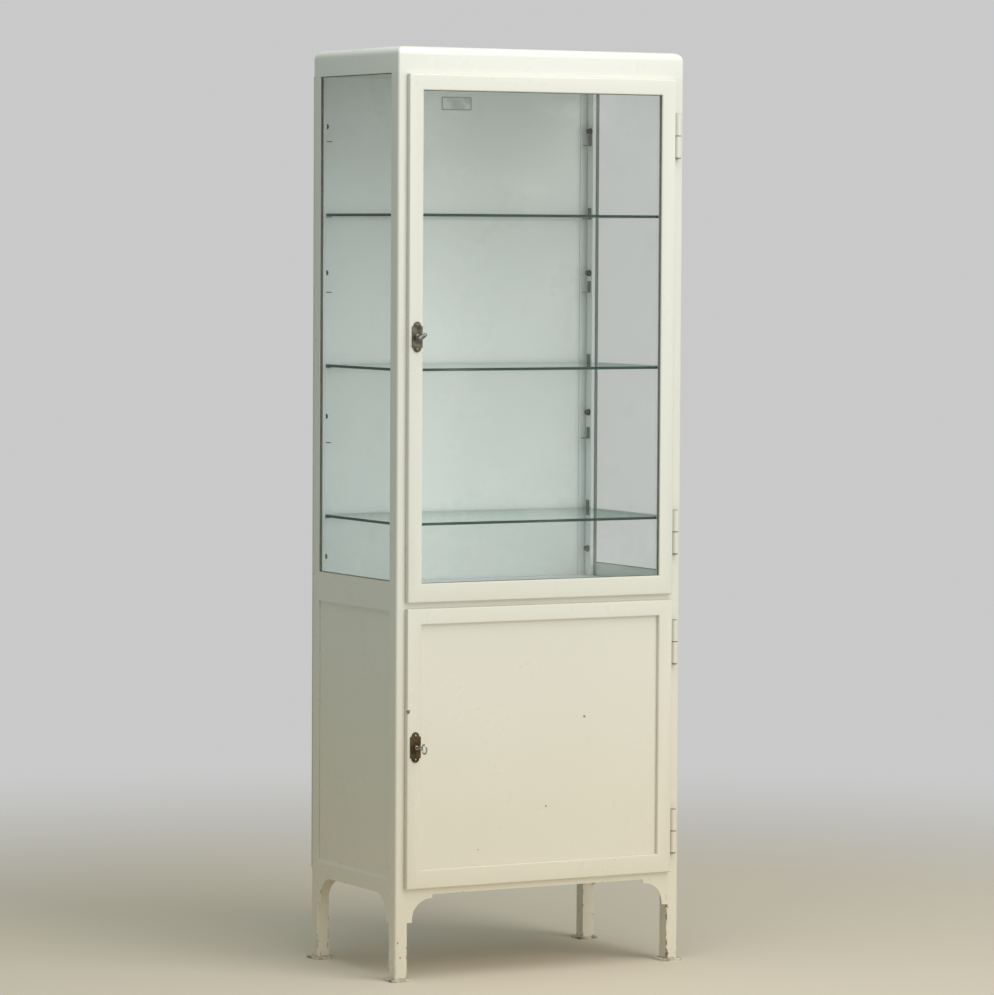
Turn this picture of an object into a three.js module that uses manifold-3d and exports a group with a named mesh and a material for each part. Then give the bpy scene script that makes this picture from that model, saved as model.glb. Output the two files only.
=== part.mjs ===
// A free-standing steel medical cabinet: a glazed case with glass shelves over a closed cupboard.
// Millimetres, +Z up, the doors facing -Y. While the pieces are made, x = 0 is the middle of the
// cabinet and y = 0 the front face of its frame. The whole is then set with its origin on the
// floor, under the middle of its bounding box.
import * as THREE from "three";
import { mergeVertices } from "three/addons/utils/BufferGeometryUtils.js";
import Module from "manifold-3d";

const wasm = await Module();
wasm.setup();

// Overall size
const WIDTH = 600;
const DEPTH = 340;
const HEIGHT = 1700;

// General fits
const FIT = 0.3; // gap between pieces that lie against each other
const SWING_GAP = 0.6; // gap between a door's inner pieces and the edge of its opening

// Angle posts, boxed below as square legs on foot plates
const POST_WIDTH = 27;
const POST_WALL = 2.5;
const LEG_WIDTH = 24.5;
const CORNER_RADIUS = 4;
const FOOT_THICKNESS = 4;
const FOOT_OVERHANG = 7.5;
const FOOT_CORNER = 5;

// Rails, with their heights above the floor
const LEG_HEIGHT = 157;
const BOTTOM_RAIL = 26;
const MID_RAIL_HEIGHT = 676;
const MID_RAIL = 29;
const SIDE_RAIL = 54;
const HEADER_RAIL = 20;
const RAIL_LIP = 12;

// Gussets where the aprons meet the legs
const GUSSET = 50;
const GUSSET_FOOT = 8;
const GUSSET_NOTCH = 3;
const GUSSET_HEAD = 7;

// Pressed top cap
const CAP_HEIGHT = 48;
const CAP_RADIUS = 15;
const CAP_WALL = 1.5;

// Sheet panels and floors
const BACK_SHEET = 1.5;
const SIDE_SHEET = 1.5;
const FLOOR_SHEET = 1.5;
const FLOOR_LIP = 20;
const PANEL_LAP = 13; // how far a panel runs behind the rail that covers its edge

// Side panes, shelf strips, clips and shelves
const PANE = 4;
const PANE_EDGE_GAP = 2;
const PANE_HEAD = 10;
const STRIP_WIDTH = 20;
const STRIP_THICKNESS = 6.4;
const STRIP_SETBACK = 3.5;
const STRIP_HEAD_GAP = 2;
const CLIP_LEVELS = 6;
const FIRST_LEVEL = 126; // lowest clip above the floor of the glazed case
const LAST_LEVEL = 118.5; // highest clip below the cap
const CLIP_WIDTH = 10;
const CLIP_SHEET = 2;
const CLIP_RISE = 20;
const CLIP_FOOT = 14;
const SHELF = 5;
const SHELF_SETBACK = 10;
const SHELF_END_GAP = 0.5;
const SHELF_LEVELS = [0, 2, 4];

// Doors: folded frames that lie over the front of the cabinet
const DOOR_GAP = 0.5;
const DOOR_DEPTH = 9.5;
const DOOR_SHEET = 1.5;
const DOOR_BEND = 2.5;
const DOOR_LIP = 14;
const STILE = 29;
const DOOR_BOTTOM_RAIL = 35;
const SEAT_DEPTH = 7; // from the face of the door to what its pane or panel lies against
const PANE_BITE = 8;
const LATCH_LAP = 8.5;
const HINGE_LAP = 5;
const UPPER_HEAD_LAP = 18;
const UPPER_SILL_LAP = 13;
const LOWER_HEAD_LAP = 5;
const LOWER_SILL_LAP = 14;
const BEAD_SHEET = 2;
const BEAD_REVEAL = 1;

// Lift-off hinges
const HINGE_SETBACK = 15; // axis from the outer face of the post
const HINGE_FORWARD = 6.5; // axis in front of the frame
const KNUCKLE_RADIUS = 6;
const KNUCKLE_LENGTH = 41;
const KNUCKLE_GAP = 0.4;
const KNUCKLE_CHAMFER = 1;
const HINGE_PIN_RADIUS = 3;
const HINGE_PIN_HEAD = 4.6;
const HINGE_PIN_HEAD_HEIGHT = 2;
const HINGE_BLIND_END = 4;
const HINGE_LEAF = 2.5;
const HINGE_LUG_WIDTH = 9;
const UPPER_HINGE_INSETS = { head: 104, sill: 116 };
const LOWER_HINGE_INSETS = { head: 79, sill: 77 };

// Latch and lock, both on one line down the free stiles
const LOCK_SETBACK = 35;
const HANDLE_HEIGHT = 1175;
const KEY_HEIGHT = 429;
const PLATE_WIDTH = 21.5;
const PLATE_HEIGHT = 56;
const PLATE_SHEET = 1.6;
const PLATE_LOBE = 7.5;

// Turning handle, its spindle and the cam behind the post
const SPINDLE_RADIUS = 3;
const HANDLE_COLLAR = { radius: 6, height: 3 };
const HANDLE_REACH = 17;
const HANDLE_STEM_RADIUS = 3.6;
const HANDLE_BAR = { length: 23, heel: 4.7, tip: 3.5 };
const HANDLE_TILT = THREE.MathUtils.degToRad(32);
const BUSH_RADIUS = 4.5;
const CAM_GAP = 2;
const CAM = { thickness: 3, hub: 5.3, tip: 4, reach: 18 };
const NUT = { flats: 9, height: 3.5 };
const SPINDLE_END = 1;

// Key, lock case and sliding bolt
const KEY_REACH = 34;
const KEY_BOW = { radius: 8.5, wire: 1.6 };
const KEY_SHANK_RADIUS = 2.6;
const KEY_COLLAR = { radius: 3.8, height: 3, gap: 2 };
const KEY_TIP = 1.5;
const BIT = { reach: 10, thickness: 2.4, width: 6, ward: 1.6 };
const LOCK = { width: 34, below: 14, above: 24, depth: 12.5, sheet: 1.5 };
const BOLT = { below: 7, above: 20, thickness: 5, length: 30, notch: 14, notchDepth: 5, throw: 12 };

// Smoothness of round forms
const ARC_STEPS = 4;
const ROUND_SIDES = 20;

// Places that follow from the sizes above
const HALF = WIDTH / 2;
const POST_REAR = DEPTH - BACK_SHEET;
const INNER_FRONT = POST_WALL;
const INNER_REAR = POST_REAR - POST_WALL;
const RAIL_TOP = LEG_HEIGHT + BOTTOM_RAIL;
const CASE_FLOOR = MID_RAIL_HEIGHT + MID_RAIL;
const CAP_BOTTOM = HEIGHT - CAP_HEIGHT;
const OPENING_HEAD = CAP_BOTTOM - HEADER_RAIL;
const OPENING_HALF = HALF - POST_WIDTH;
const DOOR_FACE = -DOOR_GAP - DOOR_DEPTH;
const PLATE_FACE = DOOR_FACE - PLATE_SHEET;
const PANE_FRONT = DOOR_FACE + SEAT_DEPTH + FIT;
const HINGE_X = HALF - HINGE_SETBACK;
const HINGE_Y = -HINGE_FORWARD;
const LOCK_X = LOCK_SETBACK - HALF;

const UPPER_DOOR = {
  x0: -OPENING_HALF - LATCH_LAP,
  x1: OPENING_HALF + HINGE_LAP,
  z0: CASE_FLOOR - UPPER_SILL_LAP,
  z1: OPENING_HEAD + UPPER_HEAD_LAP,
};
const LOWER_DOOR = {
  x0: UPPER_DOOR.x0,
  x1: UPPER_DOOR.x1,
  z0: RAIL_TOP - LOWER_SILL_LAP,
  z1: MID_RAIL_HEIGHT + LOWER_HEAD_LAP,
};

// Finishes: each call gives a mesh its own material
const finish = (color, roughness, metalness) => () =>
  new THREE.MeshStandardMaterial({ color, roughness, metalness, flatShading: true });
const paint = finish(0xe9e5d6, 0.4, 0);
const steel = finish(0x8d8b84, 0.35, 1);
const bronze = finish(0x5d5a4e, 0.5, 1);
const rustyBronze = finish(0x4a3c30, 0.65, 1);
const nickel = finish(0xb9b6ac, 0.3, 1);
const glass = () =>
  new THREE.MeshStandardMaterial({
    color: 0xdfe9e2,
    roughness: 0.05,
    metalness: 0,
    transparent: true,
    opacity: 0.35,
  });

// Solids: closed geometry in, joined or cut, closed geometry out

function solid(geometry) {
  const bare = geometry.clone();
  bare.deleteAttribute("normal");
  bare.deleteAttribute("uv");
  const merged = mergeVertices(bare);
  return new wasm.Manifold(
    new wasm.Mesh({
      numProp: 3,
      vertProperties: merged.attributes.position.array,
      triVerts: new Uint32Array(merged.index.array),
    }),
  );
}

function geometryOf(manifold) {
  const mesh = manifold.getMesh();
  const geometry = new THREE.BufferGeometry();
  geometry.setAttribute("position", new THREE.BufferAttribute(mesh.vertProperties, 3));
  geometry.setIndex(new THREE.BufferAttribute(mesh.triVerts, 1));
  geometry.computeVertexNormals();
  return geometry;
}

const join = (...pieces) => geometryOf(pieces.map(solid).reduce((a, b) => a.add(b)));
const cut = (body, ...tools) => geometryOf(tools.map(solid).reduce((a, b) => a.subtract(b), solid(body)));

function block([x0, x1], [y0, y1], [z0, z1]) {
  const box = new THREE.BoxGeometry(x1 - x0, y1 - y0, z1 - z0);
  return box.translate((x0 + x1) / 2, (y0 + y1) / 2, (z0 + z1) / 2);
}

// The two axes of an outline and the direction in which it is extruded
const FRAMES = {
  x: [new THREE.Vector3(0, 1, 0), new THREE.Vector3(0, 0, 1), new THREE.Vector3(1, 0, 0)],
  y: [new THREE.Vector3(1, 0, 0), new THREE.Vector3(0, 0, 1), new THREE.Vector3(0, -1, 0)],
  z: [new THREE.Vector3(1, 0, 0), new THREE.Vector3(0, 1, 0), new THREE.Vector3(0, 0, 1)],
};

// A closed outline, always counter-clockwise so that mirrored outlines and holes agree
function outlineOf(points) {
  const corners = points.map(([u, v]) => new THREE.Vector2(u, v));
  return new THREE.Shape(THREE.ShapeUtils.isClockWise(corners) ? corners.reverse() : corners);
}

function extrude(shape, along, from, to) {
  const options = { depth: to - from, bevelEnabled: false, curveSegments: 3 * ARC_STEPS };
  const [u, v, w] = FRAMES[along];
  const place = new THREE.Matrix4().makeBasis(u, v, w);
  place.setPosition(w.clone().multiplyScalar(along === "y" ? -to : from));
  return new THREE.ExtrudeGeometry(shape, options).applyMatrix4(place);
}

// A solid of revolution about an axis along +Y or +Z; the profile is radius, distance from the base up
function revolve(profile, along, at, sides = ROUND_SIDES) {
  const lathe = new THREE.LatheGeometry(profile.map(([r, h]) => new THREE.Vector2(r, h)), sides);
  if (along === "z") lathe.rotateX(Math.PI / 2);
  return lathe.translate(...at);
}

function rod(radius, along, at, from, to, sides = ROUND_SIDES) {
  return revolve([[0, from], [radius, from], [radius, to], [0, to]], along, at, sides);
}

function arc(cu, cv, radius, fromDegrees, toDegrees, steps = ARC_STEPS) {
  return Array.from({ length: steps + 1 }, (_, i) => {
    const angle = THREE.MathUtils.degToRad(fromDegrees + ((toDegrees - fromDegrees) * i) / steps);
    return [cu + radius * Math.cos(angle), cv + radius * Math.sin(angle)];
  });
}

function roundedRectangle(u0, u1, v0, v1, radius, steps = ARC_STEPS) {
  return [
    ...arc(u1 - radius, v0 + radius, radius, -90, 0, steps),
    ...arc(u1 - radius, v1 - radius, radius, 0, 90, steps),
    ...arc(u0 + radius, v1 - radius, radius, 90, 180, steps),
    ...arc(u0 + radius, v0 + radius, radius, 180, 270, steps),
  ];
}

// Skin over rings of equal point counts: closed into a loop, or with a flat fan on each end
function loft(rings, loop) {
  const count = rings[0].length;
  const points = rings.flat();
  const faces = [];
  const last = loop ? rings.length : rings.length - 1;
  for (let k = 0; k < last; k++) {
    const a = k * count;
    const b = ((k + 1) % rings.length) * count;
    for (let i = 0; i < count; i++) {
      const j = (i + 1) % count;
      faces.push(a + i, a + j, b + j, a + i, b + j, b + i);
    }
  }
  if (!loop) {
    for (const [start, turned] of [[0, true], [last * count, false]]) {
      const ring = points.slice(start, start + count);
      const middle = [0, 1, 2].map((axis) => ring.reduce((sum, p) => sum + p[axis], 0) / count);
      points.push(middle);
      for (let i = 0; i < count; i++) {
        const [a, b] = [start + i, start + ((i + 1) % count)];
        faces.push(...(turned ? [b, a] : [a, b]), points.length - 1);
      }
    }
  }
  const geometry = new THREE.BufferGeometry();
  geometry.setAttribute("position", new THREE.Float32BufferAttribute(points.flat(), 3));
  geometry.setIndex(faces);
  geometry.computeVertexNormals();
  return geometry;
}

// Groups stand at the joint that carries them, so turning or sliding one moves its pieces
function group(parent, x, y, z) {
  const made = new THREE.Group();
  made.userData.joint = new THREE.Vector3(x, y, z);
  made.position.copy(made.userData.joint);
  if (parent) {
    made.position.sub(parent.userData.joint);
    parent.add(made);
  }
  return made;
}

function place(parent, name, geometry, material) {
  const mesh = new THREE.Mesh(geometry, material());
  mesh.name = name;
  mesh.position.copy(parent.userData.joint).negate();
  parent.add(mesh);
}

const SIDES = [["left", -1], ["right", 1]];
const ENDS = ["front", "rear"];

// A span measured inwards from the outer face of the left (-1) or right (1) side
const fromSide = (side, a, b) => [side * (HALF - a), side * (HALF - b)].sort((p, q) => p - q);
// A span measured inwards from the front or rear face of the posts
const fromEnd = (end, a, b) => (end === "front" ? [a, b] : [POST_REAR - b, POST_REAR - a]);

// Posts and feet

function post(side, end) {
  const corner = ([u, v]) => [side * (HALF - u), end === "front" ? v : POST_REAR - v];
  const angle = [
    [POST_WIDTH, 0],
    [POST_WIDTH, POST_WALL],
    [POST_WALL, POST_WALL],
    [POST_WALL, POST_WIDTH],
    [0, POST_WIDTH],
    ...arc(CORNER_RADIUS, CORNER_RADIUS, CORNER_RADIUS, 180, 270),
  ];
  const bore = [POST_WALL, LEG_WIDTH - POST_WALL];
  const box = [
    [LEG_WIDTH, 0],
    [LEG_WIDTH, LEG_WIDTH],
    [0, LEG_WIDTH],
    ...arc(CORNER_RADIUS, CORNER_RADIUS, CORNER_RADIUS, 180, 270),
  ];
  const leg = outlineOf(box.map(corner));
  leg.holes.push(outlineOf([[0, 0], [1, 0], [1, 1], [0, 1]].map(([i, j]) => corner([bore[i], bore[j]]))));
  return join(
    extrude(outlineOf(angle.map(corner)), "z", LEG_HEIGHT, CAP_BOTTOM),
    extrude(leg, "z", FOOT_THICKNESS, LEG_HEIGHT),
  );
}

function foot(side, end) {
  const [x0, x1] = fromSide(side, -FOOT_OVERHANG, POST_WIDTH + FOOT_OVERHANG);
  const [y0, y1] = fromEnd(end, -FOOT_OVERHANG, POST_WIDTH + FOOT_OVERHANG);
  return extrude(outlineOf(roundedRectangle(x0, x1, y0, y1, FOOT_CORNER)), "z", 0, FOOT_THICKNESS);
}

// Pressed cap: rings run up the inside, over the lower edge and up the outside

function topCap() {
  const ring = (inset, z) => {
    const outline = roundedRectangle(-HALF + inset, HALF - inset, inset, DEPTH - inset, CORNER_RADIUS);
    return outline.map(([x, y]) => [x, y, z]);
  };
  const bend = (radius, wall) => {
    const quarter = arc(wall + radius, HEIGHT - CAP_RADIUS, radius, 180, 90, 2 * ARC_STEPS);
    return quarter.map(([inset, z]) => ring(inset, z));
  };
  const inside = [ring(CAP_WALL, CAP_BOTTOM), ...bend(CAP_RADIUS - CAP_WALL, CAP_WALL)];
  const outside = [ring(0, CAP_BOTTOM), ...bend(CAP_RADIUS, 0)];
  return loft([...inside.reverse(), ...outside], false);
}

// Rails and aprons

// A front rail with a lip turned in along its lower edge
function frontRail(z0, z1) {
  const section = [
    [0, z0],
    [RAIL_LIP, z0],
    [RAIL_LIP, z0 + POST_WALL],
    [POST_WALL, z0 + POST_WALL],
    [POST_WALL, z1],
    [0, z1],
  ];
  return extrude(outlineOf(section), "x", -OPENING_HALF, OPENING_HALF);
}

// An apron between two posts: a straight rail with a concave gusset against each leg
function apronOutline(u0, u1, stepped) {
  const notch = stepped ? GUSSET_NOTCH : 0;
  const head = stepped ? GUSSET_HEAD : 0;
  const radius = GUSSET - GUSSET_FOOT - notch;
  const reach = GUSSET_FOOT + radius;
  const half = [
    [0, BOTTOM_RAIL],
    [0, 0],
    [LEG_WIDTH - POST_WIDTH, 0],
    [LEG_WIDTH - POST_WIDTH, -GUSSET],
    [GUSSET_FOOT, -GUSSET],
    ...arc(reach, -head - radius, radius, 180, 90, 2 * ARC_STEPS),
    ...(stepped ? [[GUSSET, -head], [GUSSET, 0]] : []),
  ];
  const left = half.map(([u, v]) => [u0 + u, LEG_HEIGHT + v]);
  const right = half.map(([u, v]) => [u1 - u, LEG_HEIGHT + v]).reverse();
  return outlineOf([...left, ...right]);
}

// Floors: a sheet with a lip turned down at the front and the rear

function floorSheet(top) {
  const [y0, y1] = [INNER_FRONT + FIT, INNER_REAR - FIT];
  const section = [
    [y0, top],
    [y0, top - FLOOR_LIP],
    [y0 + FLOOR_SHEET, top - FLOOR_LIP],
    [y0 + FLOOR_SHEET, top - FLOOR_SHEET],
    [y1 - FLOOR_SHEET, top - FLOOR_SHEET],
    [y1 - FLOOR_SHEET, top - FLOOR_LIP],
    [y1, top - FLOOR_LIP],
    [y1, top],
  ];
  const reach = HALF - POST_WALL - FIT - SIDE_SHEET - FIT;
  return extrude(outlineOf(section), "x", -reach, reach);
}

// Strips that clamp the side panes and carry the shelf clips

const PANE_INSET = POST_WALL + FIT;
const STRIP_INSET = PANE_INSET + PANE + FIT;
const STRIP_FACE = STRIP_INSET + STRIP_THICKNESS;
const CLIP_PITCH = (CAP_BOTTOM - LAST_LEVEL - CASE_FLOOR - FIRST_LEVEL) / (CLIP_LEVELS - 1);
const clipLevel = (level) => CASE_FLOOR + FIRST_LEVEL + level * CLIP_PITCH;

function shelfStrip(side, end) {
  const across = fromEnd(end, INNER_FRONT + STRIP_SETBACK, INNER_FRONT + STRIP_SETBACK + STRIP_WIDTH);
  const middle = (across[0] + across[1]) / 2;
  const strip = block(fromSide(side, STRIP_INSET, STRIP_FACE), across, [
    CASE_FLOOR + FIT,
    CAP_BOTTOM - STRIP_HEAD_GAP,
  ]);
  const clips = Array.from({ length: CLIP_LEVELS }, (_, level) => {
    const z = clipLevel(level);
    const section = [
      [STRIP_FACE - CLIP_SHEET, z - CLIP_SHEET],
      [STRIP_FACE + CLIP_FOOT, z - CLIP_SHEET],
      [STRIP_FACE + CLIP_FOOT, z],
      [STRIP_FACE + CLIP_SHEET, z],
      [STRIP_FACE + CLIP_SHEET, z + CLIP_RISE],
      [STRIP_FACE - CLIP_SHEET, z + CLIP_RISE],
    ].map(([inset, height]) => [side * (HALF - inset), height]);
    return extrude(outlineOf(section), "y", middle - CLIP_WIDTH / 2, middle + CLIP_WIDTH / 2);
  });
  return join(strip, ...clips);
}

function glassShelf(level) {
  const reach = HALF - STRIP_FACE - CLIP_SHEET - SHELF_END_GAP;
  const bottom = clipLevel(level) + FIT;
  return block([-reach, reach], [SHELF_SETBACK, POST_REAR - SHELF_SETBACK], [bottom, bottom + SHELF]);
}

// Door frames: a folded section carried round the four mitred corners

function inset(door, stile, sill) {
  return { x0: door.x0 + stile, x1: door.x1 - stile, z0: door.z0 + sill, z1: door.z1 - stile };
}

function mitredFrame(outer, inner, section) {
  const corners = [["x0", "z0"], ["x0", "z1"], ["x1", "z1"], ["x1", "z0"]];
  const rings = corners.map(([x, z]) => {
    const inX = x === "x0" ? 1 : -1;
    const inZ = z === "z0" ? 1 : -1;
    return section.map(({ edge, in: from, y }) => {
      const [rect, away] = edge === "outer" ? [outer, from] : [inner, -from];
      return [rect[x] + inX * away, y, rect[z] + inZ * away];
    });
  });
  return loft(rings, true);
}

function doorFrame(door) {
  const outer = (from, depth) => ({ edge: "outer", in: from, y: DOOR_FACE + depth });
  const inner = (from, depth) => ({ edge: "inner", in: from, y: DOOR_FACE + depth });
  const section = [
    outer(0, DOOR_DEPTH),
    ...arc(DOOR_BEND, DOOR_BEND, DOOR_BEND, 180, 270).map(([u, v]) => outer(u, v)),
    ...arc(DOOR_BEND, DOOR_BEND, DOOR_BEND, 270, 180).map(([u, v]) => inner(u, v)),
    inner(0, SEAT_DEPTH),
    inner(DOOR_SHEET, SEAT_DEPTH),
    inner(DOOR_SHEET, DOOR_BEND),
    inner(DOOR_BEND, DOOR_SHEET),
    outer(DOOR_BEND, DOOR_SHEET),
    outer(DOOR_SHEET, DOOR_BEND),
    outer(DOOR_SHEET, DOOR_DEPTH - DOOR_SHEET),
    outer(DOOR_LIP, DOOR_DEPTH - DOOR_SHEET),
    outer(DOOR_LIP, DOOR_DEPTH),
  ];
  return mitredFrame(door, inset(door, STILE, DOOR_BOTTOM_RAIL), section);
}

// A pane or panel behind the inner edge of its door frame
function doorFill(door, thickness) {
  const hole = inset(door, STILE - PANE_BITE, DOOR_BOTTOM_RAIL - PANE_BITE);
  return block([hole.x0, hole.x1], [PANE_FRONT, PANE_FRONT + thickness], [hole.z0, hole.z1]);
}

function glazingBead() {
  const outer = {
    x0: -OPENING_HALF + SWING_GAP,
    x1: OPENING_HALF - SWING_GAP,
    z0: CASE_FLOOR + SWING_GAP,
    z1: OPENING_HEAD - SWING_GAP,
  };
  const inner = inset(UPPER_DOOR, STILE - BEAD_REVEAL, DOOR_BOTTOM_RAIL - BEAD_REVEAL);
  const front = PANE_FRONT + PANE + FIT;
  const back = front + BEAD_SHEET;
  const frame = mitredFrame(outer, inner, [
    { edge: "outer", in: 0, y: back },
    { edge: "outer", in: 0, y: front },
    { edge: "inner", in: 0, y: front },
    { edge: "inner", in: 0, y: back },
  ]);
  const reach = SPINDLE_RADIUS + SWING_GAP;
  const notch = block(
    [outer.x0 - SWING_GAP, LOCK_X + reach],
    [front - FIT, back + FIT],
    [HANDLE_HEIGHT - reach, HANDLE_HEIGHT + reach],
  );
  return cut(frame, notch);
}

// Lift-off hinges: the door's knuckle turns on the frame's knuckle and pin

function hinge(z) {
  const at = [HINGE_X, HINGE_Y, z];
  const half = KNUCKLE_GAP / 2;
  const end = KNUCKLE_LENGTH;
  const barrel = (chamferedEnd, joint) => [
    [0, joint],
    [KNUCKLE_RADIUS, joint],
    [KNUCKLE_RADIUS, chamferedEnd - Math.sign(chamferedEnd) * KNUCKLE_CHAMFER],
    [KNUCKLE_RADIUS - KNUCKLE_CHAMFER, chamferedEnd],
    [0, chamferedEnd],
  ];
  const bore = HINGE_PIN_RADIUS + FIT;
  const leaf = block(
    [UPPER_DOOR.x1, HINGE_X],
    [HINGE_Y, HINGE_Y + HINGE_LEAF],
    [z + half, z + end - KNUCKLE_CHAMFER],
  );
  const lug = block(
    [HINGE_X - HINGE_LUG_WIDTH / 2, HINGE_X + HINGE_LUG_WIDTH / 2],
    [HINGE_Y, 0],
    [z - end + KNUCKLE_CHAMFER, z - half],
  );
  const pinTop = end - HINGE_BLIND_END - FIT;
  const headTop = -end - FIT;
  return {
    door: cut(join(revolve(barrel(end, half), "z", at), leaf), rod(bore, "z", at, 0, end - HINGE_BLIND_END)),
    frame: cut(
      join(revolve(barrel(-end, -half).reverse(), "z", at), lug),
      rod(bore, "z", at, -end - FIT, 0),
    ),
    pin: revolve(
      [
        [0, headTop - HINGE_PIN_HEAD_HEIGHT],
        [HINGE_PIN_RADIUS, headTop - HINGE_PIN_HEAD_HEIGHT],
        [HINGE_PIN_HEAD, headTop - HINGE_PIN_HEAD_HEIGHT / 2],
        [HINGE_PIN_HEAD, headTop],
        [HINGE_PIN_RADIUS, headTop],
        [HINGE_PIN_RADIUS, pinTop - HINGE_PIN_RADIUS / 2],
        [HINGE_PIN_RADIUS / 2, pinTop],
        [0, pinTop],
      ],
      "z",
      at,
    ),
  };
}

// Escutcheon: a plate with a lobe at each end for its fixing

function plateOutline(z) {
  const half = PLATE_WIDTH / 2;
  const lobe = PLATE_HEIGHT / 2 - PLATE_LOBE;
  const shoulder = lobe - (half - PLATE_LOBE) / 2;
  const up = [[half, shoulder], ...arc(0, lobe, PLATE_LOBE, 0, 180, 2 * ARC_STEPS), [-half, shoulder]];
  const down = up.map(([u, v]) => [-u, -v]);
  return outlineOf([...up, ...down].map(([u, v]) => [LOCK_X + u, z + v]));
}

// Upper latch: T handle and spindle in one, cam and nut on its inner end

const CAM_FRONT = POST_WALL + CAM_GAP;
const CAM_BACK = CAM_FRONT + CAM.thickness;
const NUT_BACK = CAM_BACK + NUT.height;

function handle() {
  const collarBack = PLATE_FACE - FIT;
  const collarFront = collarBack - HANDLE_COLLAR.height;
  const barY = PLATE_FACE - HANDLE_REACH;
  const stem = revolve(
    [
      [0, barY],
      [HANDLE_STEM_RADIUS, barY],
      [HANDLE_STEM_RADIUS, collarFront - HANDLE_COLLAR.height],
      [HANDLE_COLLAR.radius, collarFront],
      [HANDLE_COLLAR.radius, collarBack],
      [SPINDLE_RADIUS, collarBack],
      [SPINDLE_RADIUS, NUT_BACK + SPINDLE_END],
      [0, NUT_BACK + SPINDLE_END],
    ],
    "y",
    [LOCK_X, 0, HANDLE_HEIGHT],
  );
  const { heel, tip } = HANDLE_BAR;
  const end = HANDLE_BAR.length / 2;
  const rounded = [...arc(0, heel - end, heel, -90, 0), ...arc(0, end - tip, tip, 0, 90)];
  const bar = revolve(rounded, "z", [0, 0, 0]);
  bar.rotateY(Math.PI / 2 - HANDLE_TILT).translate(LOCK_X, barY, HANDLE_HEIGHT);
  return join(stem, bar);
}

const spindleBore = (from, to) => rod(SPINDLE_RADIUS + FIT, "y", [LOCK_X, 0, HANDLE_HEIGHT], from, to);

function latchCam() {
  const finger = outlineOf(
    [
      ...arc(0, 0, CAM.hub, 0, 180, 2 * ARC_STEPS),
      ...arc(0, CAM.tip - CAM.reach, CAM.tip, 180, 360, 2 * ARC_STEPS),
    ].map(([u, v]) => [LOCK_X + u, HANDLE_HEIGHT + v]),
  );
  return cut(extrude(finger, "y", CAM_FRONT, CAM_BACK), spindleBore(CAM_FRONT - FIT, CAM_BACK + FIT));
}

function latchNut() {
  const corner = NUT.flats / Math.sqrt(3);
  const hexagon = rod(corner, "y", [LOCK_X, 0, HANDLE_HEIGHT], CAM_BACK, NUT_BACK, 6);
  return cut(hexagon, spindleBore(CAM_BACK - FIT, NUT_BACK + FIT));
}

function spindleBush() {
  const front = DOOR_FACE + DOOR_SHEET + FIT;
  const back = PANE_FRONT - FIT;
  const sleeve = rod(BUSH_RADIUS, "y", [LOCK_X, 0, HANDLE_HEIGHT], front, back);
  return cut(sleeve, spindleBore(front - FIT, back + FIT));
}

// Lower lock: key, case and the bolt that the key's bit throws behind the post

const LOCK_FRONT = -DOOR_GAP + FIT;
const LOCK_BACK = LOCK_FRONT + LOCK.depth;
const LOCK_X0 = -OPENING_HALF + SWING_GAP + FIT;
const LOCK_MIDDLE = (LOCK_FRONT + LOCK_BACK) / 2;

function keyhole(from, to) {
  const at = [LOCK_X, 0, KEY_HEIGHT];
  const slot = BIT.thickness / 2 + FIT;
  return join(
    rod(KEY_SHANK_RADIUS + FIT, "y", at, from, to),
    block([LOCK_X - slot, LOCK_X + slot], [from, to], [KEY_HEIGHT - BIT.reach - FIT, KEY_HEIGHT]),
  );
}

function key() {
  const at = [LOCK_X, 0, KEY_HEIGHT];
  const bowY = PLATE_FACE - KEY_REACH;
  const bow = new THREE.TorusGeometry(KEY_BOW.radius, KEY_BOW.wire, 8, ROUND_SIDES);
  bow.rotateY(Math.PI / 2).translate(LOCK_X, bowY, KEY_HEIGHT);
  const collarBack = PLATE_FACE - KEY_COLLAR.gap;
  const collarFront = collarBack - KEY_COLLAR.height;
  const tip = LOCK_BACK - LOCK.sheet - KEY_TIP;
  const shank = revolve(
    [
      [0, bowY + KEY_BOW.radius],
      [KEY_SHANK_RADIUS, bowY + KEY_BOW.radius],
      [KEY_SHANK_RADIUS, collarFront],
      [KEY_COLLAR.radius, collarFront],
      [KEY_COLLAR.radius, collarBack],
      [KEY_SHANK_RADIUS, collarBack],
      [KEY_SHANK_RADIUS, tip],
      [0, tip],
    ],
    "y",
    at,
  );
  const half = BIT.thickness / 2;
  const [y0, y1] = [LOCK_MIDDLE - BIT.width / 2, LOCK_MIDDLE + BIT.width / 2];
  const bit = block([LOCK_X - half, LOCK_X + half], [y0, y1], [KEY_HEIGHT - BIT.reach, KEY_HEIGHT]);
  const ward = block(
    [LOCK_X - BIT.thickness, LOCK_X + BIT.thickness],
    [LOCK_MIDDLE - BIT.ward / 2, LOCK_MIDDLE + BIT.ward / 2],
    [KEY_HEIGHT - BIT.reach - FIT, KEY_HEIGHT - (BIT.reach + KEY_SHANK_RADIUS) / 2],
  );
  return join(bow, shank, cut(bit, ward));
}

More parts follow.
